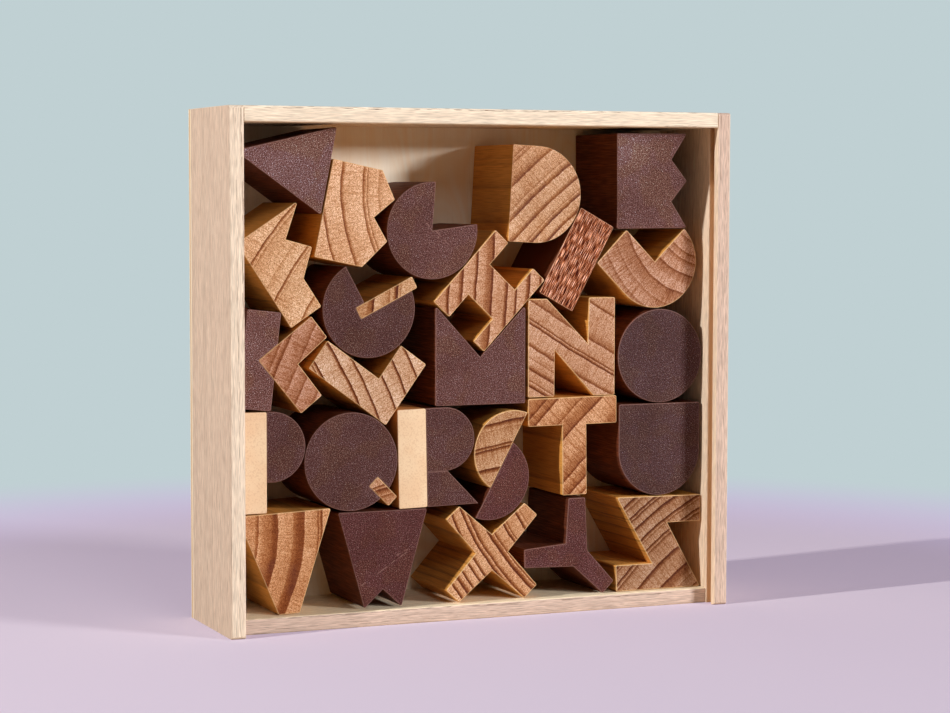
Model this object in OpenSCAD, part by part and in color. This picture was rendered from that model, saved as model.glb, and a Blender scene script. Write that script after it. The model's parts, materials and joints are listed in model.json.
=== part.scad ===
// A boxed alphabet: twenty-six sawn letter blocks packed five rows high in a shallow wooden box.
// The box stands on its bottom board with its open side to the front. X runs to the right,
// Y to the back and Z up, and the origin is in the middle of the footprint.
// Every letter is an outline sawn across the grain, so each block is a straight prism from front to back.

/* [Letter blocks] */
// Height of a capital
cap_h = 47; // [40:0.5:56]
// Depth of every block from front to back
block_depth = 47; // [30:0.5:60]
// Radius sanded on the outer corners of an outline
corner_r = 0.7; // [0.2:0.1:1.5]
// Gap behind the blocks, so that they slide freely
back_gap = 0.3; // [0.1:0.1:1]
// Thickness of the bar let into the G
g_bar_t = 6; // [4:0.1:8]
// Width of the tail let into the Q
q_tail_w = 6.2; // [4:0.1:8]

/* [Box] */
// Thickness of the left and right boards
side_t = 7; // [5.5:0.1:12]
// Thickness of the top and bottom boards
end_t = 7.3; // [5.5:0.1:12]
// Thickness of the plywood back
back_t = 3.4; // [2:0.1:6]
// Depth of the open space in front of the blocks
front_recess = 13.5; // [11:0.1:25]
// Radius on the outer edges of the boards
board_r = 0.8; // [0.2:0.1:2]
// Radius on the front corners of a side board
side_corner_r = 1.6; // [0.5:0.1:4]

/* [Groove for the sliding lid] */
// Thickness of the lip in front of the groove
lip_t = 4; // [2.5:0.1:5]
// Width of the groove
groove_w = 4.5; // [3:0.1:6]
// Depth of the groove in the boards
groove_d = 3; // [1.5:0.1:4]
// How far the bottom board stays behind the groove
lid_pass = 0.5; // [0.2:0.1:2]

/* [Hidden] */

$fn = 96;
arc_steps = 3;

// Woods
box_wood = [0.93, 0.84, 0.70];
ply_wood = [0.88, 0.79, 0.64];
dark_wood = [0.36, 0.24, 0.23];
striped_wood = [0.80, 0.59, 0.39];
red_wood = [0.70, 0.42, 0.30];
pale_wood = [0.95, 0.84, 0.64];

// The space inside the boards, in capital heights, is what the five packed rows need.
inside_w_share = 5.106;
inside_h_share = 4.815;
inside_w = inside_w_share * cap_h;
inside_h = inside_h_share * cap_h;
board_d = front_recess + block_depth + back_gap;
outer_w = inside_w + 2 * side_t;
outer_h = inside_h + 2 * end_t;
outer_d = board_d + back_t;
front_y = -outer_d / 2;
block_back_y = front_y + front_recess + block_depth;

// An arc may take up to this share of the shorter edge beside its corner.
arc_room_share = 0.4;

// The arc that eases corner b between its neighbours a and c, or b itself where the outline turns
// inwards, because a saw leaves an inner corner sharp
function eased_corner(a, b, c, r) =
    let (
        to_a = (a - b) / norm(a - b),
        to_c = (c - b) / norm(c - b),
        half = acos(max(-1, min(1, to_a * to_c))) / 2,
        room = arc_room_share * min(norm(a - b), norm(c - b)),
        reach = min(r / tan(half), room),
        radius = reach * tan(half),
        middle = b + (to_a + to_c) / norm(to_a + to_c) * reach / cos(half),
        first = b + to_a * reach - middle,
        start = atan2(first[1], first[0]),
        sweep = 180 - 2 * half
    )
    cross(b - a, c - b) <= 0
        ? [b]
        : [for (i = [0 : arc_steps])
            let (angle = start + sweep * i / arc_steps)
            middle + radius * [cos(angle), sin(angle)]];

// An outline, given anticlockwise, with its outer corners eased. The corners counted in square,
// where two boards meet, are left square.
function eased(points, r, square = []) =
    let (count = len(points))
    [for (i = [0 : count - 1])
        each len(search(i, square)) > 0
            ? [points[i]]
            : eased_corner(points[(i + count - 1) % count], points[i], points[(i + 1) % count], r)];

// The corners of an upright rectangle from its low and high corners
function rectangle(low, high) = [low, [high[0], low[1]], high, [low[0], high[1]]];

// A sawn outline in capital heights
module sawn(shares) {
    polygon(eased(shares * cap_h, corner_r));
}

// A rectangle in capital heights
module sawn_rectangle(low_shares, high_shares) {
    sawn(rectangle(low_shares, high_shares));
}

// A disc in capital heights
module sawn_disc(radius_share) {
    circle(r = radius_share * cap_h);
}

// A drawn letter becomes a block: its middle lies at_shares of a capital height in from the
// inner left corner and up from the inner floor, and it is turned anticlockwise as seen from the front.
module block(at_shares, turn) {
    translate([at_shares[0] * cap_h - inside_w / 2, block_back_y, end_t + at_shares[1] * cap_h])
        rotate([90, 0, 0])
            rotate([0, 0, turn])
                linear_extrude(height = block_depth)
                    children();
}

// A side board is a section seen from above, with its inner face at +X and the lid's groove along it,
// cut to the rounded face that the side view shows.
module side_board() {
    section = [
        [0, 0],
        [side_t, 0],
        [side_t, lip_t],
        [side_t - groove_d, lip_t],
        [side_t - groove_d, lip_t + groove_w],
        [side_t, lip_t + groove_w],
        [side_t, board_d],
        [0, board_d]
    ];
    intersection() {
        linear_extrude(height = outer_h)
            polygon(eased(section, board_r, square = [6, 7]));
        rotate([90, 0, 90])
            linear_extrude(height = side_t)
                polygon(eased(rectangle([0, 0], [board_d, outer_h]), side_corner_r, square = [1, 2]));
    }
}

// BOX

module left_side() {
    color(box_wood)
        translate([-outer_w / 2, front_y, 0])
            side_board();
}

module right_side() {
    color(box_wood)
        mirror([1, 0, 0])
            translate([-outer_w / 2, front_y, 0])
                side_board();
}

// The lid's far end sits in a groove in the underside of the top board.
module top_board() {
    section = [
        [0, 0],
        [lip_t, 0],
        [lip_t, groove_d],
        [lip_t + groove_w, groove_d],
        [lip_t + groove_w, 0],
        [board_d, 0],
        [board_d, end_t],
        [0, end_t]
    ];
    color(box_wood)
        translate([-inside_w / 2, front_y, outer_h - end_t])
            rotate([90, 0, 90])
                linear_extrude(height = inside_w)
                    polygon(eased(section, board_r, square = [5, 6]));
}

// The bottom board stays behind the groove, so the lid runs out past it.
module bottom_board() {
    front = lip_t + groove_w + lid_pass;
    color(box_wood)
        translate([-inside_w / 2, front_y, 0])
            rotate([90, 0, 90])
                linear_extrude(height = inside_w)
                    polygon(eased(rectangle([front, 0], [board_d, end_t]), board_r, square = [1, 2]));
}

// The plywood back is glued over the edges of all four boards.
module back_panel() {
    color(ply_wood)
        translate([-outer_w / 2, front_y + board_d, 0])
            cube([outer_w, back_t, outer_h]);
}

// FIRST ROW

// A is a plain wedge that lies on its side in the top corner.
a_shares = [[-0.44, -0.49], [0.44, -0.49], [0, 0.49]];
a_at_shares = [0.474, 4.449];
a_turn = 78.8;

module letter_a() {
    color(dark_wood)
        block(a_at_shares, a_turn)
            sawn(a_shares);
}

b_shares = [
    [-0.36, -0.49], [0.15, -0.49], [0.36, -0.19], [0.175, 0.015], [0.355, 0.23], [0.17, 0.49], [-0.36, 0.49]
];
b_at_shares = [1.251, 3.919];
b_turn = -11.8;

module letter_b() {
    color(striped_wood)
        block(b_at_shares, b_turn)
            sawn(b_shares);
}

// C is a disc with a mouth a little under a quarter wide.
disc_share = 0.487;
c_mouth_half = 39;
c_at_shares = [2.046, 3.766];
c_turn = 46.4;

module letter_c() {
    lip = [cos(c_mouth_half), sin(c_mouth_half)];
    color(dark_wood)
        block(c_at_shares, c_turn)
            difference() {
                sawn_disc(disc_share);
                polygon([[0, 0], [lip[0], -lip[1]], lip] * cap_h);
            }
}

// D is a spine with a half disc in front of it.
d_spine_share = 0.39;
d_middle_share = -0.1;
d_radius_share = 0.49;
d_at_shares = [3.287, 4.121];
d_turn = -3.2;

module letter_d() {
    color(striped_wood)
        block(d_at_shares, d_turn) {
            sawn_rectangle([-d_spine_share, -d_radius_share], [d_middle_share, d_radius_share]);
            intersection() {
                translate([d_middle_share * cap_h, 0])
                    sawn_disc(d_radius_share);
                translate([d_middle_share * cap_h - corner_r, -cap_h])
                    square([cap_h, 2 * cap_h]);
            }
        }
}

e_shares = [
    [-0.405, -0.49], [0.405, -0.49], [0.225, -0.215], [0.405, 0], [0.225, 0.22], [0.405, 0.49], [-0.405, 0.49]
];
e_at_shares = [4.497, 4.268];
e_turn = 0.4;

module letter_e() {
    color(dark_wood)
        block(e_at_shares, e_turn)
            sawn(e_shares);
}

// SECOND ROW

f_shares = [
    [-0.365, -0.495], [0.012, -0.495], [0.012, -0.165], [0.255, 0.045], [0.07, 0.255], [0.385, 0.5],
    [-0.365, 0.5]
];
f_at_shares = [0.59, 3.435];
f_turn = 33.5;

module letter_f() {
    color(striped_wood)
        block(f_at_shares, f_turn)
            sawn(f_shares);
}

// G is a disc with a quarter sawn out and a bar let in along the floor of the cut.
g_bar_low_share = -0.053;
g_bar_ends_shares = [-0.12, 0.55];
g_lip_shares = [-0.012, -0.035];
g_at_shares = [1.37, 2.996];
g_turn = 27;

module g_bar_outline() {
    translate([g_bar_ends_shares[0] * cap_h, g_bar_low_share * cap_h])
        polygon(eased(
            rectangle([0, 0], [(g_bar_ends_shares[1] - g_bar_ends_shares[0]) * cap_h, g_bar_t]), corner_r));
}

module letter_g_disc() {
    color(dark_wood)
        block(g_at_shares, g_turn)
            difference() {
                sawn_disc(disc_share);
                g_bar_outline();
                polygon([
                    [g_lip_shares[0] * cap_h, g_bar_low_share * cap_h + g_bar_t / 2],
                    [cap_h, g_bar_low_share * cap_h + g_bar_t / 2],
                    [cap_h, cap_h],
                    [g_lip_shares[1] * cap_h, cap_h]
                ]);
                // The disc stops at the underside of the bar where it runs past the disc's centre.
                translate([0, g_bar_low_share * cap_h])
                    square([cap_h, g_bar_t]);
            }
}

module letter_g_bar() {
    color(striped_wood)
        block(g_at_shares, g_turn)
            g_bar_outline();
}

h_half_shares = [0.375, 0.49];
h_upper_notch_shares = [-0.18, 0.196];
h_lower_notch_shares = [-0.147, 0.217];
h_crossbar_shares = [-0.187, 0.196];
h_at_shares = [2.67, 3.156];
h_turn = -43.2;

module letter_h() {
    half = h_half_shares;
    upper = h_upper_notch_shares;
    lower = h_lower_notch_shares;
    bar = h_crossbar_shares;
    color(striped_wood)
        block(h_at_shares, h_turn)
            sawn([
                -half, [lower[0], -half[1]], [lower[0], bar[0]], [lower[1], bar[0]], [lower[1], -half[1]],
                [half[0], -half[1]], half, [upper[1], half[1]], [upper[1], bar[1]], [upper[0], bar[1]],
                [upper[0], half[1]], [-half[0], half[1]]
            ]);
}

i_half_shares = [0.212, 0.49];
i_at_shares = [3.637, 3.463];
i_turn = -28.6;

module letter_i() {
    color(red_wood)
        block(i_at_shares, i_turn)
            sawn_rectangle(-i_half_shares, i_half_shares);
}

// J is laid in back to front: a square stem on the left and a half disc for the hook.
j_radius_share = 0.48;
j_stem_share = 0.465;
j_at_shares = [4.535, 3.435];
j_turn = 45;

module letter_j() {
    color(striped_wood)
        block(j_at_shares, j_turn) {
            sawn([[-j_radius_share, -corner_r / cap_h], [0, -corner_r / cap_h], [0, j_stem_share],
                [-j_radius_share, j_stem_share]]);
            intersection() {
                sawn_disc(j_radius_share);
                translate([-cap_h, -cap_h])
                    square([2 * cap_h, cap_h]);
            }
        }
}

// THIRD ROW

// K is a plain stem with a chevron let into its side.
k_stem_shares = [[-0.43, -0.485], [-0.083, 0.485]];
k_chevron_shares = [[-0.265, 0], [0.228, -0.48], [0.425, -0.285], [0.147, 0], [0.415, 0.29], [0.228, 0.48]];
k_at_shares = [0.487, 2.484];
k_turn = -6.5;

module k_chevron_outline() {
    sawn(k_chevron_shares);
}

module letter_k_stem() {
    color(dark_wood)
        block(k_at_shares, k_turn)
            difference() {
                sawn_rectangle(k_stem_shares[0], k_stem_shares[1]);
                k_chevron_outline();
            }
}

module letter_k_chevron() {
    color(red_wood)
        block(k_at_shares, k_turn)
            k_chevron_outline();
}

l_shares = [[-0.368, -0.5], [0.368, -0.5], [0.368, -0.165], [-0.032, -0.165], [-0.032, 0.5], [-0.368, 0.5]];
l_at_shares = [1.358, 2.426];
l_turn = 54;

module letter_l() {
    color(striped_wood)
        block(l_at_shares, l_turn)
            sawn(l_shares);
}

m_shares = [[-0.492, -0.508], [0.492, -0.508], [0.492, 0.49], [-0.005, -0.024], [-0.492, 0.5]];
m_at_shares = [2.572, 2.515];

module letter_m() {
    color(dark_wood)
        block(m_at_shares, 0)
            sawn(m_shares);
}

n_shares = [
    [-0.49, -0.505], [-0.195, -0.505], [-0.19, -0.035], [0.25, -0.505], [0.49, -0.505],
    [0.49, 0.505], [0.195, 0.505], [0.18, 0.035], [-0.28, 0.498], [-0.49, 0.498]
];
n_at_shares = [3.586, 2.567];

module letter_n() {
    color(striped_wood)
        block(n_at_shares, 0)
            sawn(n_shares);
}

o_at_shares = [4.6, 2.453];

module letter_o() {
    color(dark_wood)
        block(o_at_shares, 0)
            sawn_disc(disc_share);
}

// FOURTH ROW

// The bowl of P and R: a half disc behind a straight back
module bowl(left_share, middle_share, top_share, radius_share) {
    low_share = top_share - 2 * radius_share;
    translate([left_share * cap_h, low_share * cap_h])
        square([(middle_share - left_share) * cap_h, 2 * radius_share * cap_h]);
    intersection() {
        translate([middle_share * cap_h, (top_share - radius_share) * cap_h])
            sawn_disc(radius_share);
        translate([middle_share * cap_h, low_share * cap_h])
            square([radius_share * cap_h, 2 * radius_share * cap_h]);
    }
}

p_edge_share = -0.05;
p_left_share = -0.35;
p_half_share = 0.497;
p_middle_share = 0;
p_bowl_share = 0.347;
p_at_shares = [0.356, 1.511];

module letter_p_stem() {
    color(pale_wood)
        block(p_at_shares, 0)
            sawn_rectangle([p_left_share, -p_half_share], [p_edge_share, p_half_share]);
}

module letter_p_bowl() {
    color(dark_wood)
        block(p_at_shares, 0)
            bowl(p_edge_share, p_middle_share, p_half_share, p_bowl_share);
}

// Q is a disc with a short tail let in across its edge.
q_disc_share = 0.49;
q_tail_at_shares = [0.337, -0.31];
q_tail_half_share = 0.147;
q_tail_turn = -45;
q_at_shares = [1.181, 1.485];

module q_tail_outline() {
    half = [q_tail_half_share * cap_h, q_tail_w / 2];
    translate(q_tail_at_shares * cap_h)
        rotate([0, 0, q_tail_turn])
            polygon(eased(rectangle(-half, half), corner_r));
}

module letter_q_disc() {
    color(dark_wood)
        block(q_at_shares, 0)
            difference() {
                sawn_disc(q_disc_share);
                q_tail_outline();
            }
}

module letter_q_tail() {
    color(striped_wood)
        block(q_at_shares, 0)
            q_tail_outline();
}

// R is three pieces glued together: a pale stem, a dark bowl and a dark leg under it.
r_left_share = -0.433;
r_edge_share = -0.127;
r_half_share = 0.497;
r_middle_share = 0.076;
r_bowl_share = 0.32;
r_leg_top_share = r_half_share - 2 * r_bowl_share;
r_leg_shares = [[r_edge_share, -r_half_share], [0.43, -r_half_share], [0.098, r_leg_top_share],
    [r_edge_share, r_leg_top_share]];
r_at_shares = [2.111, 1.494];
r_turn = 1.1;

module letter_r_stem() {
    color(pale_wood)
        block(r_at_shares, r_turn)
            sawn_rectangle([r_left_share, -r_half_share], [r_edge_share, r_half_share]);
}

module letter_r_bowl() {
    color(dark_wood)
        block(r_at_shares, r_turn)
            bowl(r_edge_share, r_middle_share, r_half_share, r_bowl_share);
}

module letter_r_leg() {
    color(dark_wood)
        block(r_at_shares, r_turn)
            polygon(r_leg_shares * cap_h);
}

// S is two rounds sawn off straight and glued together half a step apart.
s_radius_share = 0.433;
s_cut_share = 0.055;
s_step_share = 0.17;
s_at_shares = [2.806, 1.383];
s_turn = -28.5;

module s_half() {
    intersection() {
        translate([s_cut_share * cap_h, s_step_share * cap_h])
            sawn_disc(s_radius_share);
        translate([-cap_h, -cap_h])
            square([cap_h, 2 * cap_h]);
    }
}

module letter_s_upper() {
    color(striped_wood)
        block(s_at_shares, s_turn)
            s_half();
}

module letter_s_lower() {
    color(dark_wood)
        block(s_at_shares, s_turn)
            rotate([0, 0, 180])
                s_half();
}

t_shares = [
    [-0.12, -0.505], [0.155, -0.505], [0.155, 0.22], [0.5, 0.22], [0.5, 0.505], [-0.5, 0.505], [-0.5, 0.22],
    [-0.12, 0.22]
];
t_at_shares = [3.603, 1.547];
t_turn = 0.6;

module letter_t() {
    color(striped_wood)
        block(t_at_shares, t_turn)
            sawn(t_shares);
}

// U is solid: a straight top and a half disc below it.
u_half_share = 0.471;
u_top_share = 0.48;
u_middle_share = -0.01;
u_at_shares = [4.6, 1.477];

module letter_u() {
    color(dark_wood)
        block(u_at_shares, 0) {
            sawn_rectangle([-u_half_share, u_middle_share - corner_r / cap_h], [u_half_share, u_top_share]);
            intersection() {
                translate([0, u_middle_share * cap_h])
                    sawn_disc(u_half_share);
                translate([-cap_h, (u_middle_share - 1) * cap_h])
                    square([2 * cap_h, cap_h]);
            }
        }
}

// FIFTH ROW

v_shares = [[-0.096, -0.503], [0.125, -0.503], [0.492, 0.503], [-0.48, 0.503]];
v_at_shares = [0.496, 0.512];
v_turn = 2.3;

module letter_v() {
    color(striped_wood)
        block(v_at_shares, v_turn)
            sawn(v_shares);
}

w_shares = [[-0.2, -0.49], [0, -0.305], [0.2, -0.49], [0.475, 0.486], [-0.475, 0.486]];
w_at_shares = [1.515, 0.496];

module letter_w() {
    color(dark_wood)
        block(w_at_shares, 0)
            sawn(w_shares);
}

x_tip_shares = [0.36, 0.49];
x_side_shares = [0.503, 0.36];
x_notch_shares = [0.18, 0.187];
x_at_shares = [2.7, 0.497];

module letter_x() {
    tip = x_tip_shares;
    side = x_side_shares;
    notch = x_notch_shares;
    color(striped_wood)
        block(x_at_shares, 0)
            sawn([
                [-tip[0], -tip[1]], [0, -notch[1]], [tip[0], -tip[1]], [side[0], -side[1]],
                [notch[0], 0], [side[0], side[1]], [tip[0], tip[1]], [0, notch[1]],
                [-tip[0], tip[1]], [-side[0], side[1]], [-notch[0], 0], [-side[0], -side[1]]
            ]);
}

y_shares = [
    [-0.088, -0.495], [0.088, -0.495], [0.113, -0.045], [0.488, 0.36], [0.355, 0.495], [0, 0.19],
    [-0.355, 0.495], [-0.488, 0.36], [-0.113, -0.045]
];
y_at_shares = [3.662, 0.409];
y_turn = 45.5;

module letter_y() {
    color(dark_wood)
        block(y_at_shares, y_turn)
            sawn(y_shares);
}

z_shares = [
    [-0.49, -0.495], [0.492, -0.495], [0.1, 0.2], [0.492, 0.2], [0.492, 0.48], [-0.49, 0.49],
    [-0.08, -0.22], [-0.5, -0.22]
];
z_at_shares = [4.6, 0.5];

module letter_z() {
    color(striped_wood)
        block(z_at_shares, 0)
            sawn(z_shares);
}

left_side();
right_side();
top_board();
bottom_board();
back_panel();
letter_a();
letter_b();
letter_c();
letter_d();
letter_e();
letter_f();
letter_g_disc();
letter_g_bar();
letter_h();
letter_i();
letter_j();
letter_k_stem();
letter_k_chevron();
letter_l();
letter_m();
letter_n();
letter_o();
letter_p_stem();
letter_p_bowl();
letter_q_disc();
letter_q_tail();
letter_r_stem();
letter_r_bowl();
letter_r_leg();
letter_s_upper();
letter_s_lower();
letter_t();
letter_u();
letter_v();
letter_w();
letter_x();
letter_y();
letter_z();
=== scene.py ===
# %% [markdown]
# A boxed alphabet
#
# The object is a shallow box of pale wood that stands on edge, packed with twenty-six loose letter
# blocks. Each block is a capital sawn out of a thick piece of hardwood, so its front shows end
# grain: growth rings, pores and the marks of the saw. The shapes come from the packed model. This
# lesson softens their edges, grows a wood for each of them, and lights the result.

# %% Load the packed model
import json
import math

import bmesh
import bpy
from mathutils import Matrix, Vector


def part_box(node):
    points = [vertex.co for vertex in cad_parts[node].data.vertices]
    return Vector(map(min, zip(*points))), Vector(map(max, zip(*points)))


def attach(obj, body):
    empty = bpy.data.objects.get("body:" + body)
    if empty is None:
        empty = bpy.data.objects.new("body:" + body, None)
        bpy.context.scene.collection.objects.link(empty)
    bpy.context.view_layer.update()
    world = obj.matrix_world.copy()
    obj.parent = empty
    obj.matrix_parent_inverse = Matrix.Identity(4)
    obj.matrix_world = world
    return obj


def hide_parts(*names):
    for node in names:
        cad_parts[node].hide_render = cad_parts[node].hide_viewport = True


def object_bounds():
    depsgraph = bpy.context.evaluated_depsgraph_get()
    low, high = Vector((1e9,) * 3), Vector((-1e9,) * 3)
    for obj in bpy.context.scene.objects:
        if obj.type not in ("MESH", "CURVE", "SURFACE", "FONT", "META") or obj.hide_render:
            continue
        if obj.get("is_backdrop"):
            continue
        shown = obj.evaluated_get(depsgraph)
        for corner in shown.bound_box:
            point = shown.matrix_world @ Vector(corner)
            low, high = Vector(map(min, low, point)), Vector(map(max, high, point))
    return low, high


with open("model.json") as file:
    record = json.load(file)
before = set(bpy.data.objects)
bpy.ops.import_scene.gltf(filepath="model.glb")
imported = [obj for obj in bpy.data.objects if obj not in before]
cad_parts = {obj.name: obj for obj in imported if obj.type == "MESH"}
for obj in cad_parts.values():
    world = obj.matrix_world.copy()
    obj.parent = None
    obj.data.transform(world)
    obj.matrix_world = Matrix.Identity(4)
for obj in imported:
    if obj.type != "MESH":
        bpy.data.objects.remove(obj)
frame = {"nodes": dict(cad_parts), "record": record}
cad_low, cad_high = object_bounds()
MM = 0.001
cad_size = [round(side / MM, 1) for side in cad_high - cad_low]
print("loaded", len(frame["nodes"]), "nodes, overall millimetres:", cad_size)

# %% [markdown]
# Wood is a pattern in space, and not a picture on a face. A tree adds one ring a year round its
# heart, so a saw cut across the grain shows arcs, and a cut along it shows the same rings as lines.
# Each finish here is therefore worked out from Object coordinates in three dimensions. Writing that
# maths as plain sums needs a small class, which wraps a socket and adds a Math node for each
# operator. Every other node comes from one method of the finish.


# %% A wire
class Wire:
    """One output socket, so that 1 - wire * 0.5 adds the Math nodes that it needs."""

    def __init__(self, finish, socket):
        self.finish = finish
        self.socket = socket

    def maths(self, operation, *values):
        return self.finish.add("ShaderNodeMath", {"operation": operation}, dict(enumerate(values)))

    def __add__(self, other):
        return self.maths("ADD", self, other)

    def __sub__(self, other):
        return self.maths("SUBTRACT", self, other)

    def __rsub__(self, other):
        return self.maths("SUBTRACT", other, self)

    def __mul__(self, other):
        return self.maths("MULTIPLY", self, other)

    def __pow__(self, other):
        return self.maths("POWER", self, other)

    def __rpow__(self, other):
        return self.maths("POWER", other, self)

    def __abs__(self):
        return self.maths("ABSOLUTE", self)

    def __lt__(self, other):
        return self.maths("LESS_THAN", self, other)

    def __gt__(self, other):
        return self.maths("GREATER_THAN", self, other)

    __radd__ = __add__
    __rmul__ = __mul__


print("a wire knows", sum(name.startswith("__r") for name in vars(Wire)), "operators in reverse")

# %% [markdown]
# A finish is a material, and the one place where its nodes are made. Besides Math nodes it makes
# noises, ramps and mixes of colours. A noise takes a place that was divided by the size of a cell,
# because wood's marks are far longer along the tree than across it, and a stretched noise shows that.


# %% A finish
class Finish:
    """A material whose nodes are made one at a time by add()."""

    def __init__(self, name):
        self.material = bpy.data.materials.new(name)
        self.material.use_nodes = True
        self.tree = self.material.node_tree
        self.surface = self.tree.nodes["Principled BSDF"]

    def add(self, kind, settings=None, sockets=None, out=0):
        """Adds a node. The settings go first, then the values or wires of its sockets."""
        node = self.tree.nodes.new(kind)
        for name, value in (settings or {}).items():
            if name == "stops":
                set_stops(node.color_ramp, value)
            else:
                setattr(node, name, value)
        for name, value in (sockets or {}).items():
            self.plug(node.inputs[name], value)
        return Wire(self, node.outputs[out])

    def plug(self, socket, value):
        if isinstance(value, Wire):
            self.tree.links.new(value.socket, socket)
        else:
            socket.default_value = value

    def part(self, place, axis):
        """One coordinate of a place or a direction."""
        return self.add("ShaderNodeSeparateXYZ", None, {0: place}, axis)

    def stretch(self, place, cell):
        """Divides a place by the size of a cell, so that a texture's grain has that size."""
        share = [1 / side for side in cell]
        return self.add("ShaderNodeVectorMath", {"operation": "MULTIPLY"}, {0: place, 1: share})

    def noise(self, place, detail=2.0, scale=1.0):
        return self.add("ShaderNodeTexNoise", None, {"Vector": place, "Scale": scale, "Detail": detail})

    def noise_along(self, distance):
        """A noise of one dimension, which makes straight lines with an uneven spacing."""
        sockets = {"W": distance, "Scale": 1.0, "Detail": 2.0}
        return self.add("ShaderNodeTexNoise", {"noise_dimensions": "1D"}, sockets)

    def rise(self, value, low, high):
        """Runs from 0 to 1 while the value climbs from low to high."""
        sockets = {"Value": value, "From Min": low, "From Max": high}
        return self.add("ShaderNodeMapRange", {"interpolation_type": "SMOOTHSTEP"}, sockets)

    def mix(self, share, first, second, blend="MIX"):
        """Blends two colours. The numbers are the places of a Mix node's colour sockets."""
        settings = {"data_type": "RGBA", "blend_type": blend}
        return self.add("ShaderNodeMix", settings, {0: share, 6: first, 7: second}, out=2)

    def grey(self, value):
        return self.add("ShaderNodeCombineColor", None, {0: value, 1: value, 2: value})

    def steeped(self, colour, depth, dye):
        """A colour through more dye where the depth is above 0, and through less where it is below."""
        parts = {place: part * math.exp(-dye[place]) ** depth for place, part in enumerate(colour[:3])}
        return self.add("ShaderNodeCombineColor", None, parts)

    def done(self, colour, height, roughness, relief, shine=0.3):
        """Plugs in the colour and lets the height lift the surface by relief, in millimetres."""
        self.plug(self.surface.inputs["Base Color"], colour)
        self.plug(self.surface.inputs["Roughness"], roughness)
        self.surface.inputs["Specular IOR Level"].default_value = shine
        bump = {"Height": height, "Distance": relief * MM, "Strength": 1.0}
        self.plug(self.surface.inputs["Normal"], self.add("ShaderNodeBump", None, bump))
        return self.material


def set_stops(ramp, stops):
    """Gives a colour ramp its stops, as pairs of a position and a grey from 0 to 1."""
    while len(ramp.elements) > 1:
        ramp.elements.remove(ramp.elements[-1])
    for position, grey in stops:
        element = ramp.elements[0] if position == stops[0][0] else ramp.elements.new(position)
        element.position = position
        element.color = (grey, grey, grey, 1)


print("ready to grow wood")

# %% [markdown]
# Colours are picked as they look on a screen, in steps from 0 to 255, but a shader works in linear
# light. One function turns the first into the second, with the curve that screens use.

# %% Colours
SCREEN_STEPS = 255
STRAIGHT_PART = 0.04045


def paint(red, green, blue):
    """A colour as it shows on a screen, from 0 to 255, as the linear colour that a shader needs."""
    shares = [step / SCREEN_STEPS for step in (red, green, blue)]
    linear = [s / 12.92 if s < STRAIGHT_PART else ((s + 0.055) / 1.055) ** 2.4 for s in shares]
    return (*linear, 1)


def tinted(colour, share):
    """A colour made lighter or darker by one factor."""
    return [min(1.0, part * share) for part in colour[:3]] + [1]


print("a middle grey of 128 is", round(paint(128, 128, 128)[0], 3), "in linear light")

# %% [markdown]
# Every wood starts alike: a place in millimetres, the direction across the grain, a fine fibre
# noise that is drawn out along the grain, and a mask that tells end grain from side grain. The
# mask reads the face's own direction, which belongs to the piece and not to the camera. Growing
# wood is never quite round, so a slow wander and a small ripple bend the rings.


# %% What all woods share
AXES = "XYZ"
MIDDLE = 0.5
SPECK_SIZE = 1.5
WANDER_WIDTH, WANDER_LENGTH, WANDER = 26, 90, 1.6
RIPPLE_WIDTH, RIPPLE_LENGTH, RIPPLE = 5, 40, 0.9


class Grain:
    """The places that a wood's pattern is made of, for grain that runs along one axis."""

    def __init__(self, finish, along, turn=0.0, fibre=0.5, fibre_length=14.0):
        self.finish = finish
        self.axis = along
        place = finish.add("ShaderNodeTexCoord", out="Object")
        place = finish.add("ShaderNodeVectorMath", {"operation": "SCALE"}, {0: place, "Scale": 1 / MM})
        facing = finish.add("ShaderNodeTexCoord", out="Normal")
        self.place = self.turned(place, turn) if turn else place
        self.facing = self.turned(facing, turn) if turn else facing
        self.across = [finish.part(self.place, axis) for axis in AXES if axis != along]
        self.along = finish.part(self.place, along)
        self.end = finish.rise(self.faces(along), 0.15, 0.5)
        self.arris = finish.add("ShaderNodeAttribute", {"attribute_name": "arris"}, out="Fac")
        self.fibres = self.noise(fibre, fibre_length, detail=1.0)
        self.specks = self.noise(fibre * SPECK_SIZE, fibre_length, detail=1.0)
        self.wander = self.noise(WANDER_WIDTH, WANDER_LENGTH) - MIDDLE
        self.ripple = self.noise(RIPPLE_WIDTH, RIPPLE_LENGTH) - MIDDLE

    def turned(self, vector, degrees):
        sockets = {"Vector": vector, "Angle": math.radians(degrees)}
        return self.finish.add("ShaderNodeVectorRotate", {"rotation_type": "Y_AXIS"}, sockets)

    def faces(self, axis):
        """How squarely the surface looks along an axis, either way: from 0 to 1."""
        return abs(self.finish.part(self.facing, axis))

    def noise_in(self, cell, detail=2.0):
        """A noise over the wood, in cells of a size in millimetres along X, Y and Z."""
        return self.finish.noise(self.finish.stretch(self.place, cell), detail)

    def noise(self, width, length, detail=2.0):
        """A noise over the wood, in cells of a width across the grain and a length along it."""
        return self.noise_in([length if axis == self.axis else width for axis in AXES], detail)

    def apart(self, point):
        """The two steps across the grain from a point, and the straight distance from it."""
        first = self.across[0] - point[0]
        second = self.across[1] - point[1]
        return first, second, (first * first + second * second) ** 0.5

    def from_heart(self, heart):
        """The distance from the tree's heart, bent as growing wood is."""
        return self.apart(heart)[2] + self.wander * WANDER + self.ripple * RIPPLE


print("a ring may stray by up to", WANDER * MIDDLE + RIPPLE * MIDDLE, "mm")

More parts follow.
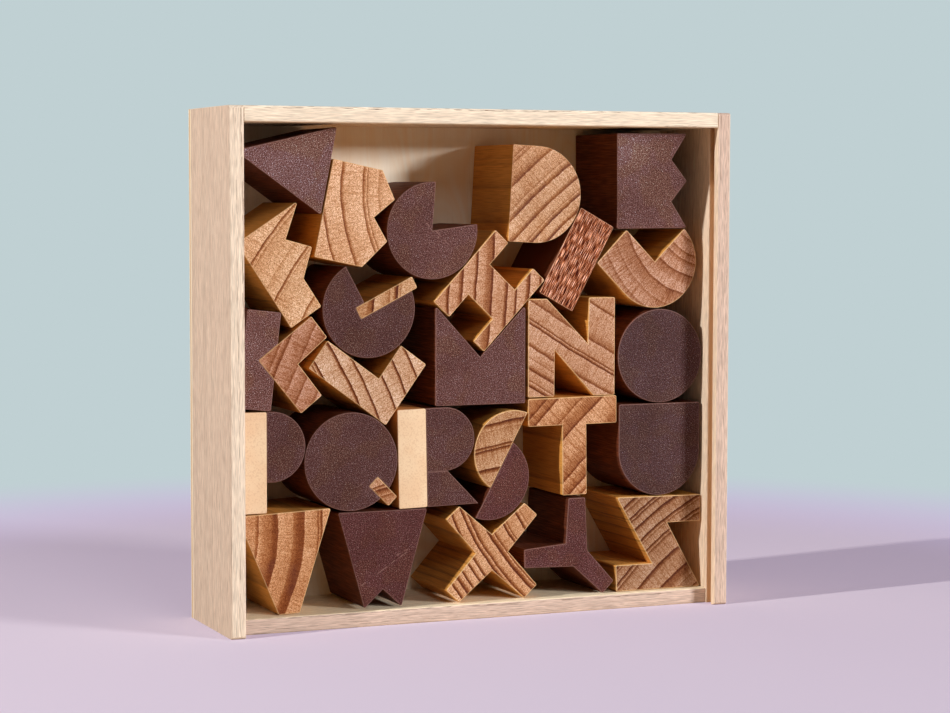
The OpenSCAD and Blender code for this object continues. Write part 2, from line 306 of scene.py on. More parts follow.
# %% [markdown]
# The light blocks show strong growth lines. Through each year the wood darkens slowly, it turns dark
# over the last millimetre or so, and then it stops at a crisp edge where the next spring starts. A
# colour ramp over the distance from the heart does just that. The spacing is never even, so each
# block has its own short list of rings: the radius where the year ends, how wide its dark band is,
# how deep the tone, and on a broad even band also how wide its dark core is. They are read off the
# photograph, in millimetres. A negative radius is for a block that lies the other way, with its dark
# wood fading outwards. A ramp holds 32 stops, and a ring takes six, so five rings share a ramp.


# %% Growth lines
RINGS_A_RAMP = 5
EDGE = 0.15
MARGIN = 12
LATE_SUMMER = 0.1
CORE = 1.3
CORE_SHARE = 0.6
FRAYED = 0.3


def ring_stops(start, radius, depth, core):
    """A slow rise, a steeper one into the dark core, and the crisp edge where the ring ends."""
    return [
        (start, LATE_SUMMER),
        (start + (radius - start - core) * 0.4, depth * 0.35),
        (radius - core, depth * 0.5),
        (radius - core * 0.45, depth),
        (radius, depth),
        (radius + EDGE, 0.0),
    ]


def growth(finish, grain, heart, rings):
    """The tone of the wood, from 0 to 1, for rings given as (radius, width, depth). A fourth number
    is the width of a band's dark core, where that is wider than usual."""
    side = -1 if rings[0][0] < 0 else 1
    distance = grain.from_heart(heart) * side + (grain.fibres - MIDDLE) * FRAYED
    rings = sorted(rings)
    edge = rings[0][0] - MARGIN
    tone = None
    for first in range(0, len(rings), RINGS_A_RAMP):
        group = rings[first : first + RINGS_A_RAMP]
        low, high = edge, group[-1][0] + 2 * EDGE
        stops = [(low, LATE_SUMMER if tone is None else 0.0)]
        for radius, width, depth, *wide_core in group:
            start = max(radius - width, edge + EDGE)
            core = wide_core[0] if wide_core else min(CORE, (radius - start) * CORE_SHARE)
            stops += ring_stops(start, radius, depth, core)
            edge = radius + EDGE
        ramp_stops = [((place - low) / (high - low), grey) for place, grey in stops]
        share = (distance - low) * (1 / (high - low))
        ramp = finish.add("ShaderNodeValToRGB", {"stops": ramp_stops}, {0: share})
        tone = ramp if tone is None else tone + ramp
    return tone + finish.rise(distance, edge, edge + MARGIN) * LATE_SUMMER


print("growth lines stop over", EDGE, "mm")

# %% [markdown]
# End grain is a bundle of cut tubes. Seen close, it is mottled, dotted with dark pores, and crossed
# by faint rays that point at the heart. A Voronoi texture scatters the pores. Its cells are long
# along the tree, so on the sides of a block the pores are fine grooves. The rays are a noise over the
# angle round the heart, and show on end grain alone.


# %% Pores and rays
PORE_CELL = (0.85, 9.0, 0.85)
PORE_SHARE = 0.22
RAY_CELL = (0.5, 9, 40)


def pore_dots(finish, grain):
    """Round pores on end grain and long grooves on the sides, in a share of the cells."""
    cells = {"Vector": finish.stretch(grain.place, PORE_CELL), "Randomness": 1.0}
    centre = finish.add("ShaderNodeTexVoronoi", None, cells, "Distance")
    chance = finish.add("ShaderNodeTexVoronoi", None, cells, "Color")
    chosen = finish.add("ShaderNodeSeparateColor", None, {0: chance}) > 1 - PORE_SHARE
    return (1 - finish.rise(centre, 0.18, 0.36)) * chosen


def rays(finish, grain, heart, radius):
    """Fine lines that point at the heart: a noise over the angle round it and the distance."""
    first, second, outward = grain.apart(heart)
    sideways = first.maths("ARCTAN2", second, first) * radius
    steps = [step * (1 / side) for step, side in zip((sideways, outward, grain.along), RAY_CELL)]
    place = finish.add("ShaderNodeCombineXYZ", None, dict(enumerate(steps)))
    return finish.rise(finish.noise(place, detail=1.0), 0.5, 0.64)


print("pores fill", round(PORE_SHARE * 100), "percent of the cells")

# %% [markdown]
# Mixing a dark brown over a light wood gives dull, greyish marks. Real dark wood is a stronger dose
# of the same dye, and dye takes away blue fastest and red slowest. So all marks here, rings and
# pores alike, add up to one depth of dye, and each channel of the light colour falls by its own
# power of that depth. Dark lines then turn redder by themselves. Some of them are mixed a little
# towards plum. The sides of the same block are golden, with long streaks.


# %% The striped wood of the light blocks
GOLD = paint(236, 172, 88)
GOLD_STREAK = paint(164, 98, 36)
GOLD_LINE = paint(78, 40, 24)
PLUM = paint(92, 48, 50)
# The rim colour below is partly sanded wood and partly a painted highlight.
SANDED_RIM_AND_HIGHLIGHT = paint(250, 214, 160)
BROWN_DYE = (1.0, 1.65, 2.4)
PATCH_DEPTH = 0.5
MOTTLE_DEPTH = 0.4
RAY_DEPTH = 0.9
PORE_DEPTH = 1.2
SPECK_DEPTH = 0.6
CLEAN_DEPTH = 0.3


def striped_wood(name, heart, rings, early, strength, rayed=0.2, plum=0.2):
    """A light wood with growth rings. early is the colour of its spring wood, strength how dark its
    rings are, rayed how much its rays show, and plum how purple its lines are."""
    finish = Finish(name)
    grain = Grain(finish, "Y", fibre=0.25)
    tone = growth(finish, grain, heart, rings)
    patch = grain.noise(width=17, length=60) - MIDDLE
    mottle = finish.rise(grain.noise(width=0.32, length=12, detail=0.0), 0.36, 0.76)
    lines = rays(finish, grain, heart, abs(rings[len(rings) // 2][0])) * rayed * grain.end
    pores = pore_dots(finish, grain)
    specks = finish.rise(1 - grain.specks, 0.4, 0.75)
    depth = tone * strength + patch * PATCH_DEPTH + mottle * MOTTLE_DEPTH + lines * RAY_DEPTH
    depth = depth + pores * PORE_DEPTH + specks * SPECK_DEPTH - CLEAN_DEPTH
    colour = finish.steeped(early, depth, BROWN_DYE)
    purple = finish.rise(grain.noise(width=9, length=60, detail=1.0), 0.42, 0.62)
    colour = finish.mix(purple * tone * plum, colour, PLUM)

    side = finish.mix(finish.rise(grain.fibres, 0.35, 0.75) * 0.5, GOLD, GOLD_STREAK)
    side = finish.mix(tone * 0.4, side, GOLD_LINE)
    colour = finish.mix(grain.end, side, colour)
    # The arris is lighter: partly sanded wood, partly a painted highlight.
    colour = finish.mix(grain.arris * 0.55, colour, SANDED_RIM_AND_HIGHLIGHT)
    height = grain.fibres * -0.8 - pores * 0.7 - tone * 0.25 - lines
    return finish.done(colour, height, roughness=0.66 - tone * 0.1, relief=0.14, shine=0.12)


print("striped wood is ready")

# %% [markdown]
# The dark blocks are stained a purple brown, which hides the rings. What remains is a fine grit, made
# by the same law of dye, with broad clouds over it, some patches that lean to olive, and pale dust in
# a few pores. Their edges get a lighter rim: partly where sanding took the stain off, and partly a
# painted highlight. A block may also have scratches, upright saw marks, or a painted sheen that
# lightens its stain round one point. The sides are a deep reddish brown with streaks.


# %% The stained wood of the dark blocks
# The rim colour below is partly wood where sanding took the stain off, and partly a painted highlight.
STAINED_RIM_WEAR_AND_HIGHLIGHT = paint(150, 114, 108)
DUST = paint(206, 180, 168)
SCRATCHED = paint(168, 130, 124)
DARK_SIDE = paint(84, 40, 26)
DARK_SIDE_STREAK = paint(120, 64, 40)
DARK_SIDE_GRIT = paint(44, 19, 12)
OLIVE = (1.04, 1.04, 0.84, 1)
PURPLE_DYE = (1.0, 1.6, 1.75)
CLOUD_DEPTH = 0.6
GRIT_DEPTH = 4.8
COARSE_DEPTH = 0.8
# The depth and the reach of a painted sheen, in millimetres round its point.
SHEEN_DEPTH = 0.4
SHEEN_FROM, SHEEN_TO = 4, 32
SAW_CELL = (0.3, 30, 0.8)
BREAK_CELL = (3, 3, 3)
SCRATCH_FROM, SCRATCH_TO = 0.1, 0.32


def stained_wood(name, stain, scratches=(), sawn=0.0, lightened=None):
    """A dark stained wood. Each scratch runs between two points (x, z) of the front, sawn is how
    much its saw marks show, and the last argument is the point round which a painted sheen
    lightens the stain."""
    finish = Finish(name)
    grain = Grain(finish, "Y", fibre=0.4)
    cloud = grain.noise(width=16, length=60) - MIDDLE
    grit = grain.noise(width=0.36, length=9, detail=0.0)
    coarse = grain.noise(width=0.6, length=9, detail=0.0) - MIDDLE
    marks = saw_lines(finish, grain) * sawn * grain.end
    depth = cloud * CLOUD_DEPTH + (grit - MIDDLE) * GRIT_DEPTH + coarse * COARSE_DEPTH - marks
    # A painted sheen: round one point the stain is lighter, fading out with the distance.
    if lightened is not None:
        depth = depth - (1 - finish.rise(grain.apart(lightened)[2], SHEEN_FROM, SHEEN_TO)) * SHEEN_DEPTH
    colour = finish.steeped(stain, depth, PURPLE_DYE)
    olive = finish.rise(grain.noise(width=11, length=60, detail=1.0), 0.48, 0.62)
    colour = finish.mix(olive, colour, OLIVE, "MULTIPLY")
    dust = finish.rise(grain.noise(width=0.5, length=20, detail=1.0), 0.68, 0.74)
    colour = finish.mix(dust * 0.6, colour, DUST)
    for start, end in scratches:
        colour = finish.mix(scratch(finish, grain, start, end) * 0.5, colour, SCRATCHED)

    side = finish.mix(finish.rise(grain.fibres, 0.35, 0.75), DARK_SIDE, DARK_SIDE_STREAK)
    side = finish.mix(finish.rise(grit, 0.5, 0.8) * 0.6, side, DARK_SIDE_GRIT)
    colour = finish.mix(grain.end, side, colour)
    # The arris is lighter: partly stain sanded off, partly a painted highlight.
    colour = finish.mix(grain.arris * 0.5, colour, STAINED_RIM_WEAR_AND_HIGHLIGHT)
    height = grain.fibres - grit * 0.4 + marks
    return finish.done(colour, height, roughness=0.68 - grain.fibres * 0.1, relief=0.2, shine=0.2)


def saw_lines(finish, grain):
    """The fine upright marks that the saw left on the front."""
    return finish.rise(grain.noise_in(SAW_CELL, detail=0.0), 0.45, 0.65)


def scratch(finish, grain, start, end):
    """A fine line between two points of the front, broken up by noise."""
    run = Vector(end) - Vector(start)
    length = run.length
    run.normalize()
    across_x, across_z, _ = grain.apart(start)
    along = across_x * run.x + across_z * run.y
    off = abs(across_z * run.x - across_x * run.y + grain.ripple * 0.8)
    within = (along > 0) * (along < length)
    broken = finish.rise(grain.noise_in(BREAK_CELL), 0.4, 0.6)
    return (1 - finish.rise(off, SCRATCH_FROM, SCRATCH_TO)) * within * broken * grain.end


print("stained wood is ready, with a rim_wear_and_highlight of", [round(part, 3) for part in STAINED_RIM_WEAR_AND_HIGHLIGHT[:3]])

# %% [markdown]
# The I is a reddish wood that was sawn along its grain, so its front is covered with coarse torn
# fibres. A noise with long thin cells makes them. It adds a lot of dye, so that the colour swings
# from a bright brown to nearly black, and it lowers the surface where it is dark. The lightest
# fibres are also mixed a little towards a pale colour, as a painted sheen. The sides are plain and
# dark.


# %% Torn red wood
RED = paint(182, 105, 64)
# The pale colour of a painted sheen on the lightest torn fibres.
RED_PAINTED_SHEEN = paint(226, 172, 144)
# The rim colour below is partly sanded wood and partly a painted highlight.
RED_RIM_WEAR_AND_HIGHLIGHT = paint(240, 190, 156)
RED_SIDE = paint(104, 56, 34)
RED_SIDE_FIBRE = paint(60, 28, 16)
TORN_DEPTH = 3.6
SPLIT_DEPTH = 1.2
RED_CLOUD_DEPTH = 0.4
SMOOTH_DEPTH = 0.9


def torn_wood(name, turn):
    """A reddish wood sawn along its grain, with torn fibres that stand up and catch the light."""
    finish = Finish(name)
    grain = Grain(finish, "Z", turn, fibre=0.3, fibre_length=2.0)
    cloud = grain.noise(width=9, length=30) - MIDDLE
    tear = grain.noise(width=0.2, length=5, detail=0.0)
    torn = finish.rise(tear, 0.3, 0.7)
    split = grain.noise(width=0.6, length=6, detail=0.0)
    depth = cloud * RED_CLOUD_DEPTH + torn * TORN_DEPTH + (split - MIDDLE) * SPLIT_DEPTH - SMOOTH_DEPTH
    colour = finish.steeped(RED, depth, BROWN_DYE)
    # A painted sheen on the lightest torn fibres.
    colour = finish.mix(finish.rise(1 - tear, 0.5, 0.75) * 0.12, colour, RED_PAINTED_SHEEN)
    side = finish.mix(torn * 0.3, RED_SIDE, RED_SIDE_FIBRE)
    colour = finish.mix(finish.rise(grain.faces("Y"), 0.4, 0.8), side, colour)
    # The arris is lighter: partly sanded wood, partly a painted highlight.
    colour = finish.mix(grain.arris * 0.3, colour, RED_RIM_WEAR_AND_HIGHLIGHT)
    return finish.done(colour, split * -0.5 - torn, roughness=0.66, relief=0.1, shine=0.12)


print("red wood is ready")

# %% [markdown]
# The stems of P and R are smooth pale maple. Its pores are too fine to see, so what is left is a
# faint mottle with a few soft specks, which two quiet noises make. The sides are more golden.

# %% Maple
MAPLE = paint(246, 213, 177)
MAPLE_PALE = paint(250, 223, 189)
MAPLE_SPECK = paint(206, 160, 116)
MAPLE_SIDE = paint(214, 164, 88)


def maple(name):
    """A smooth pale wood with a faint mottle, and golden sides."""
    finish = Finish(name)
    grain = Grain(finish, "Y", fibre=0.5)
    mottle = finish.rise(grain.noise(width=12, length=50, detail=1.0), 0.3, 0.7)
    colour = finish.mix(mottle, MAPLE, MAPLE_PALE)
    colour = finish.mix(finish.rise(grain.specks, 0.5, 0.66) * 0.25, colour, MAPLE_SPECK)
    side = finish.mix(0.85, colour, MAPLE_SIDE, "MULTIPLY")
    colour = finish.mix(grain.end, side, colour)
    return finish.done(colour, grain.fibres, roughness=0.55, relief=0.06)


print("maple is ready")

# %% [markdown]
# The box is planed from a light, pale wood. Its boards have fine straight lines along the grain, and
# the short hair-thin dashes of cut vessels, which gather in streaks and show most on the front
# edges. The streaks come from a one-dimensional noise over the distance from the heart, which keeps
# them straight and makes their spacing uneven. A board's wide faces may have a tint of their own;
# on the bottom board that tint is lighter, as painted light on its upper face. The walls of the
# lid's grooves are browner.


# %% The pale wood of the boards
VESSEL = paint(150, 100, 66)
GROOVE = paint(222, 178, 128)
LEAN = 0.004
STREAKS_A_MM = 0.2
LINES_A_MM = 1.1


def planed_board(name, along, heart, tint, dashes, streaked, groove=None, wide=None):
    """A pale board. dashes is how dark its vessels are, streaked how much its lines show, groove
    holds the corners of a browner cut, and wide is the tint of faces wider than the edges."""
    finish = Finish(name)
    grain = Grain(finish, along, fibre=0.28, fibre_length=6.0)
    distance = grain.from_heart(heart) + grain.along * LEAN
    streaks = finish.noise_along(distance * STREAKS_A_MM)
    lines = finish.noise_along(distance * LINES_A_MM)
    body = tint
    if wide is not None:
        wide_axis = "X" if along == "Z" else "Z"
        body = finish.mix(finish.rise(grain.faces(wide_axis), 0.4, 0.8), tint, wide)
    shade = finish.rise(streaks, 0.35, 0.65) * 0.09 + 0.94
    colour = finish.mix(1.0, body, finish.grey(shade), "MULTIPLY")
    colour = finish.mix(finish.rise(lines, 0.5, 0.72) * streaked * 0.6, colour, VESSEL)
    colour = finish.mix(finish.rise(grain.specks, 0.5, 0.7) * streaked, colour, VESSEL)
    colour = finish.mix(finish.rise(1 - grain.specks, 0.52, 0.7) * 0.3, colour, tinted(tint, 1.12))

    dash = finish.rise(grain.noise(width=0.25, length=5, detail=0.0), 0.57, 0.63)
    gathered = finish.rise(lines + streaks, 0.98, 1.16)
    dash = dash * gathered * (1 - grain.end) * (grain.faces("Y") * 0.7 + 0.3)
    colour = finish.mix(dash * dashes, colour, tinted(VESSEL, 0.5))
    fleck = MIDDLE - grain.fibres
    colour = finish.mix(1.0, colour, finish.grey(fleck + 1), "MULTIPLY")

    cut = finish.mix(finish.rise(lines, 0.42, 0.7) * 0.5, tinted(tint, 0.85), VESSEL)
    colour = finish.mix(grain.end * 0.7, colour, cut)
    if groove is not None:
        colour = finish.mix(inside(finish, grain.place, *groove) * 0.7, colour, GROOVE)
    # The board's arris is lighter: partly wear, partly a painted highlight.
    colour = finish.mix(grain.arris * 0.25, colour, tinted(tint, 1.1))
    height = grain.specks + grain.fibres * 0.5 - dash
    return finish.done(colour, height, roughness=0.74 - streaks * 0.08, relief=0.12, shine=0.08)


def inside(finish, place, low, high):
    """1 between two corners, given in millimetres, and 0 outside them."""
    share = 1.0
    for axis, first, last in zip(AXES, low, high):
        part = finish.part(place, axis)
        share = (part > first) * (part < last) * share
    return share


print("pale wood is ready")

# %% [markdown]
# The back is a sheet of plywood: two thin face veneers over a thicker core whose grain lies across
# them. The face shows wide wavy figure, and the edge shows the three layers as stripes.


# %% The plywood of the back
PLY = paint(255, 246, 228)
PLY_FIGURE = paint(253, 238, 214)
PLY_SPECK = paint(200, 160, 116)
PLY_CORE = paint(206, 168, 126)
FIGURE_WAVES = 14.0


def plywood(name, front, thickness):
    """Birch ply whose front face lies at a depth given in millimetres."""
    finish = Finish(name)
    grain = Grain(finish, "Z", fibre=0.4, fibre_length=22.0)
    wave = grain.noise(width=30, length=110, detail=1.0)
    figure = finish.noise_along(wave * FIGURE_WAVES + grain.across[0] * 0.05)
    colour = finish.mix(finish.rise(figure, 0.35, 0.7), PLY, PLY_FIGURE)
    colour = finish.mix(finish.rise(grain.specks, 0.5, 0.8) * 0.1, colour, PLY_SPECK)
    depth = grain.across[1] - (front + thickness / 2)
    core = 1 - finish.rise(abs(depth), thickness * 0.22, thickness * 0.26)
    core = core * (1 - finish.rise(grain.faces("Y"), 0.3, 0.7))
    colour = finish.mix(core * 0.8, colour, PLY_CORE)
    return finish.done(colour, grain.fibres, roughness=0.6, relief=0.08)


print("plywood is ready")

# %% [markdown]
# A sawn block never has knife-sharp edges: a pass of sandpaper leaves a narrow arris that catches
# the light. The packed meshes are loose triangles with sharp rims, so each piece here is a merged
# copy with its flat faces made whole and its outward edges bevelled. The bevel's faces carry an
# attribute, arris, which the finishes use to lighten them: partly for the paler wood that sanding
# bares, and partly as a painted highlight.


# %% Soften the edges of a piece
MERGE = 0.02
FLAT_ANGLE = math.radians(0.6)
ARRIS_ANGLE = math.radians(58)
SMOOTH_ANGLE = math.radians(34)
ARRIS_SEGMENTS = 3


def softened(node, name, width):
    """A copy of a node's mesh with its outward edges rounded over a width in millimetres."""
    mesh = frame["nodes"][node].data.copy()
    mesh.name = name
    mesh.materials.clear()
    work = bmesh.new()
    work.from_mesh(mesh)
    bmesh.ops.remove_doubles(work, verts=work.verts, dist=MERGE * MM)
    bmesh.ops.dissolve_limit(work, angle_limit=FLAT_ANGLE, verts=work.verts, edges=work.edges)
    arris = work.faces.layers.float.new("arris")
    result = bmesh.ops.bevel(
        work, geom=[edge for edge in work.edges if is_rim(edge)], offset=width * MM,
        offset_type="OFFSET", segments=ARRIS_SEGMENTS, profile=0.5, affect="EDGES",
        clamp_overlap=True, loop_slide=True,
    )
    for face in result["faces"]:
        face[arris] = 1.0
    for face in work.faces:
        face.smooth = True
    for edge in work.edges:
        edge.smooth = len(edge.link_faces) == 2 and edge.calc_face_angle() < SMOOTH_ANGLE
    work.to_mesh(mesh)
    work.free()
    piece = bpy.data.objects.new(name, mesh)
    bpy.context.scene.collection.objects.link(piece)
    weigh_normals(piece)
    return piece


def is_rim(edge):
    """True for a sharp edge that points outwards."""
    return len(edge.link_faces) == 2 and edge.calc_face_angle_signed() > ARRIS_ANGLE


def weigh_normals(piece):
    """Lets the large flat faces set the shading, so that only the arris looks round."""
    piece.modifiers.new("weigh", "WEIGHTED_NORMAL").keep_sharp = True
    evaluated = piece.evaluated_get(bpy.context.evaluated_depsgraph_get())
    mesh = bpy.data.meshes.new_from_object(evaluated)
    piece.modifiers.clear()
    piece.data = mesh


print("edges up to", round(math.degrees(SMOOTH_ANGLE)), "degrees are shaded smooth")

# %% [markdown]
# The softened copy stands for its node, and rides on the same body. So a block slides out of the box
# together with the pieces that are glued to it or let into it.

# %% Seat a piece on its body
def body_of(node):
    """The body that a node moves with, as the record has it."""
    bodies = frame["record"]["behaviour"]["bodies"]
    return next(body for body, members in bodies.items() if node in members)


def dress(node, name, width, material):
    """Makes a softened piece, gives it its finish, and seats it on its body."""
    piece = softened(node, name, width)
    piece.data.materials.append(material)
    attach(piece, body_of(node))
    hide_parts(node)
    return piece


# %% [markdown]
# The boards come first. The side boards stand with their grain upright, and the top and bottom
# boards lie between them with theirs across. Each has its own heart, well outside the board, so no
# two show the same lines. Their tints differ as separate boards do, and the right and bottom boards
# are darker also as painted shade, for light that falls off towards the lower right.

# %% The box
BOARD_ARRIS = 0.35
PANEL_ARRIS = 0.2
GROOVE_FRONT, GROOVE_BACK = -28.2, -23.5
GROOVE_NEAR, GROOVE_FAR = 0.4, 4
BEYOND = 1
inner_left, inner_right = (corner.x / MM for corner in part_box("top_board"))
above = cad_high.z / MM + BEYOND
left_groove = (
    (inner_left - GROOVE_FAR, GROOVE_FRONT, -BEYOND), (inner_left - GROOVE_NEAR, GROOVE_BACK, above),
)
right_groove = (
    (inner_right + GROOVE_NEAR, GROOVE_FRONT, -BEYOND), (inner_right + GROOVE_FAR, GROOVE_BACK, above),
)
boards = {
    "left_side": dict(
        along="Z", heart=(-190, 60), tint=paint(244, 229, 212), dashes=0.6, streaked=0.17,
        groove=left_groove, wide=paint(220, 200, 185),
    ),
    # The right board's darker tint is partly painted shade.
    "right_side": dict(
        along="Z", heart=(230, -40), tint=paint(224, 200, 187), dashes=0.3, streaked=0.14,
        groove=right_groove, wide=paint(255, 233, 208),
    ),
    "top_board": dict(
        along="X", heart=(70, 320), tint=paint(250, 236, 218), dashes=1.0, streaked=0.08,
    ),
    # The bottom board's darker tint is partly painted shade, and its lighter wide tint is painted light
    # on its upper face.
    "bottom_board": dict(
        along="X", heart=(-60, -90), tint=paint(222, 199, 187), dashes=0.5, streaked=0.08,
        wide=paint(255, 240, 210),
    ),
}
for node, looks in boards.items():
    wood = planed_board("pale wood " + node.replace("_", " "), **looks)
    dress(node, node + "_planed", BOARD_ARRIS, wood)

back_low, back_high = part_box("back_panel")
ply = plywood("birch ply", back_low.y / MM, (back_high.y - back_low.y) / MM)
dress("back_panel", "back_panel_sanded", PANEL_ARRIS, ply)
print("dressed", len(boards) + 1, "boards")

# %% [markdown]
# Next the light blocks. The rings of each are read off its own face. The heart is where the arcs
# would meet: near and strongly curved on J, V and B, and half a metre away or more on H, N and T,
# whose lines are almost straight. D, J and T lie the other way, so their radii are negative.

# %% The light blocks
BLOCK_ARRIS = 0.4
light_pieces = []


def light_block(letter, heart, early, strength, rings, rayed=0.2, plum=0.2):
    """Dresses one light piece in a striped wood of its own."""
    wood = striped_wood("striped wood " + letter, heart, rings, paint(*early), strength, rayed, plum)
    light_pieces.append(dress("letter_" + letter, "block_" + letter, BLOCK_ARRIS, wood))


light_block("b", (16, 203), (240, 194, 157), 1.0, [
    (67, 4, 0.3), (72.7, 1, 0.55), (74.8, 1.6, 0.85), (85.6, 1.8, 0.95), (94.7, 1.4, 1),
])
light_block("d", (245, -40), (216, 171, 135), 1.1, [
    (-302.8, 1.7, 1), (-308.3, 1.8, 1), (-310.6, 1, 0.4), (-315.6, 2.2, 0.85), (-323, 2.4, 0.85),
    (-326.5, 1.5, 0.3), (-334.5, 3.5, 0.7), (-342.5, 1.5, 0.4), (-344.5, 1.5, 0.4),
], plum=0.5)
light_block("f", (12, 96), (233, 189, 150), 1.1, [
    (111.5, 1.5, 0.8), (125.5, 1, 0.3), (127.2, 1.2, 1), (133, 1.5, 0.25), (142.8, 1.5, 0.3),
    (144.8, 1.1, 1),
])
light_block("g_bar", (-147, 161), (217, 173, 135), 1.9, [
    (94.4, 4, 0.9), (102.2, 1.5, 0.3), (106.3, 2, 1), (107.8, 0.6, 0.25),
])
light_block("h", (-603, 192), (210, 163, 132), 1.55, [
    (589, 1.8, 1), (595.6, 2.4, 0.9), (602.6, 1.6, 1), (610.8, 4.5, 0.9), (618.7, 2, 0.9),
    (623.7, 1.3, 1),
    (630.2, 2.3, 1), (636.1, 1.6, 0.95),
])
light_block("j", (121, 195), (196, 150, 125), 0.95, [
    (-18, 2, 0.5), (-24.2, 3, 0.6), (-28, 2.5, 0.65), (-34.6, 5, 0.9), (-44, 7, 0.85), (-51.5, 3, 0.4),
    (-58, 3, 0.45), (-61, 1.5, 0.35),
], rayed=0.4)
light_block("l", (-275, 7), (226, 188, 159), 1.8, [
    (223.6, 1, 0.6), (225.6, 1.4, 1), (235.4, 1.5, 1), (241.9, 1.2, 1), (251.5, 1.2, 1), (259, 1.3, 1),
    (266.8, 1.2, 1),
])
light_block("n", (364, 671), (205, 160, 131), 1.45, [
    (604.8, 1.4, 0.7), (620.4, 4, 0.6), (627.9, 1, 0.75), (629.7, 1.2, 0.95), (638.8, 2, 0.7),
    (643.5, 1, 0.3),
    (648.3, 2, 0.8), (652.8, 1, 0.45), (655.3, 1.6, 1),
])
light_block("q_tail", (-36, 16), (203, 153, 119), 1.6, [
    (46.4, 2, 0.4), (49.8, 2.6, 0.8), (51.5, 1, 0.7),
])
light_block("s_upper", (62, -234), (196, 152, 116), 1.55, [
    (304, 1, 0.3), (310.2, 2.2, 1), (319.2, 1.5, 0.85), (320.8, 1.2, 0.85), (328, 1, 0.2),
    (331.3, 2, 0.9),
], rayed=0.3)
light_block("t", (554, -418), (214, 163, 124), 1.4, [
    (-689.6, 2, 0.6), (-694, 5, 0.85), (-700.3, 6.5, 0.8), (-714.8, 7, 0.9), (-722, 4, 0.5),
    (-730.8, 4, 0.8),
    (-735, 7, 0.8),
], rayed=0.4)
light_block("v", (-187, 51), (220, 166, 123), 1.3, [
    (77.5, 1.8, 0.6), (86.8, 8, 0.85, 3.5), (99.6, 5.6, 0.8, 5), (106.5, 1, 0.7), (108.3, 1.8, 0.9),
], plum=0.35)
light_block("x", (117, 106), (215, 167, 129), 1.65, [
    (110.9, 1, 0.35), (113.5, 1.4, 1), (119.8, 1, 0.55), (121.7, 1.4, 1), (127.4, 1.5, 0.6),
    (130.1, 2.2, 1),
    (135.4, 1.8, 0.75), (137.8, 1.5, 1), (143.1, 1.5, 0.95), (146.6, 1.4, 1), (151.3, 1.4, 0.95),
    (155.1, 2, 0.95), (158.7, 1.4, 0.95),
])
light_block("z", (188, -87), (175, 135, 106), 1.6, [
    (119.9, 1.4, 0.7), (125, 1, 0.3), (131.5, 5, 0.85), (140.9, 2.4, 0.95), (149.1, 1.6, 0.55),
    (151, 1.2, 0.95),
    (155, 1, 0.4), (157, 1.5, 1), (163.2, 1.8, 1), (167.5, 1.2, 0.75), (169.2, 1.2, 1),
    (173.2, 1.6, 0.4),
    (175.6, 1.6, 1),
], rayed=0.3)
print("dressed", len(light_pieces), "light pieces")

# %% [markdown]
# The dark pieces took up more or less of the stain, so there are six depths of it. Object
# coordinates already give each piece its own speckle, so pieces of one depth can share a finish. The
# C and the W are made apart because they are scratched, and the E because its saw marks show and a
# painted sheen lightens its upper left.

# %% The dark blocks
FADED = paint(110, 70, 69)
WORN = paint(109, 67, 63)
EVEN = paint(90, 50, 47)
RICH = paint(81, 37, 36)
DEEP = paint(80, 43, 41)
DARKEST = paint(69, 37, 38)
C_SCRATCHES = [((-27, 188), (-18, 178)), ((-24, 186), (-14, 176))]
W_SCRATCHES = [((-60, 18.5), (-31, 37)), ((-42, 32), (-30, 37.5))]
E_SHEEN_AT = (73, 226)
rich_stain = stained_wood("rich stain", RICH)
deep_stain = stained_wood("deep stain", DEEP)
darkest_stain = stained_wood("darkest stain", DARKEST)
stains = {
    "letter_a": stained_wood("faded stain", FADED),
    "letter_c": stained_wood("scratched stain c", EVEN, scratches=C_SCRATCHES),
    # The E gets a painted sheen at its upper left.
    "letter_e": stained_wood("sawn stain e", EVEN, sawn=0.3, lightened=E_SHEEN_AT),
    "letter_k_stem": stained_wood("worn stain", WORN),
    "letter_m": stained_wood("even stain", EVEN),
    "letter_o": darkest_stain,
    "letter_s_lower": rich_stain,
    "letter_u": darkest_stain,
    "letter_w": stained_wood("scratched stain w", RICH, scratches=W_SCRATCHES),
    "letter_y": rich_stain,
}
subparts = frame["record"]["subparts"]
dark_nodes = [row["node"] for row in subparts if row["material_slot"] == "dark_wood"]
for node in dark_nodes:
    name = node.replace("letter_", "block_")
    dress(node, name, BLOCK_ARRIS, stains.get(node, deep_stain))
print("dressed", len(dark_nodes), "dark pieces")

# %% [markdown]
# Last come the two red pieces and the two pale stems. The I leans, so its grain is turned with it.
# The chevron of the K has broad soft bands, and lies the other way as well.

# %% The red pieces and the stems
I_LEAN = 28.6
dress("letter_i", "block_i", BLOCK_ARRIS, torn_wood("red wood i", -I_LEAN))
CHEVRON_RINGS = [
    (-739.3, 5, 0.7), (-747, 4.5, 0.8), (-753.4, 5, 0.65), (-761.9, 2.4, 1), (-765, 3.5, 0.7),
]
CHEVRON_EARLY = paint(203, 152, 126)
chevron_wood = striped_wood(
    "red wood k", (595, -190), CHEVRON_RINGS, CHEVRON_EARLY, strength=0.85, rayed=0.3, plum=0.1,
)
dress("letter_k_chevron", "block_k_chevron", BLOCK_ARRIS, chevron_wood)
stem_wood = maple("maple")
for node in ("letter_p_stem", "letter_r_stem"):
    dress(node, node.replace("letter_", "block_"), BLOCK_ARRIS, stem_wood)
showing = [node for node, packed in frame["nodes"].items() if not packed.hide_render]
print("dressed 4 more pieces, and left showing:", showing)

# %% [markdown]
# The object stands on a plain pale sweep: a floor that curves up into a wall, so that no hard line
# crosses the picture. Its section is a list of points, and each strip of it is one long face. The
# sweep is stage, and not part of the object.

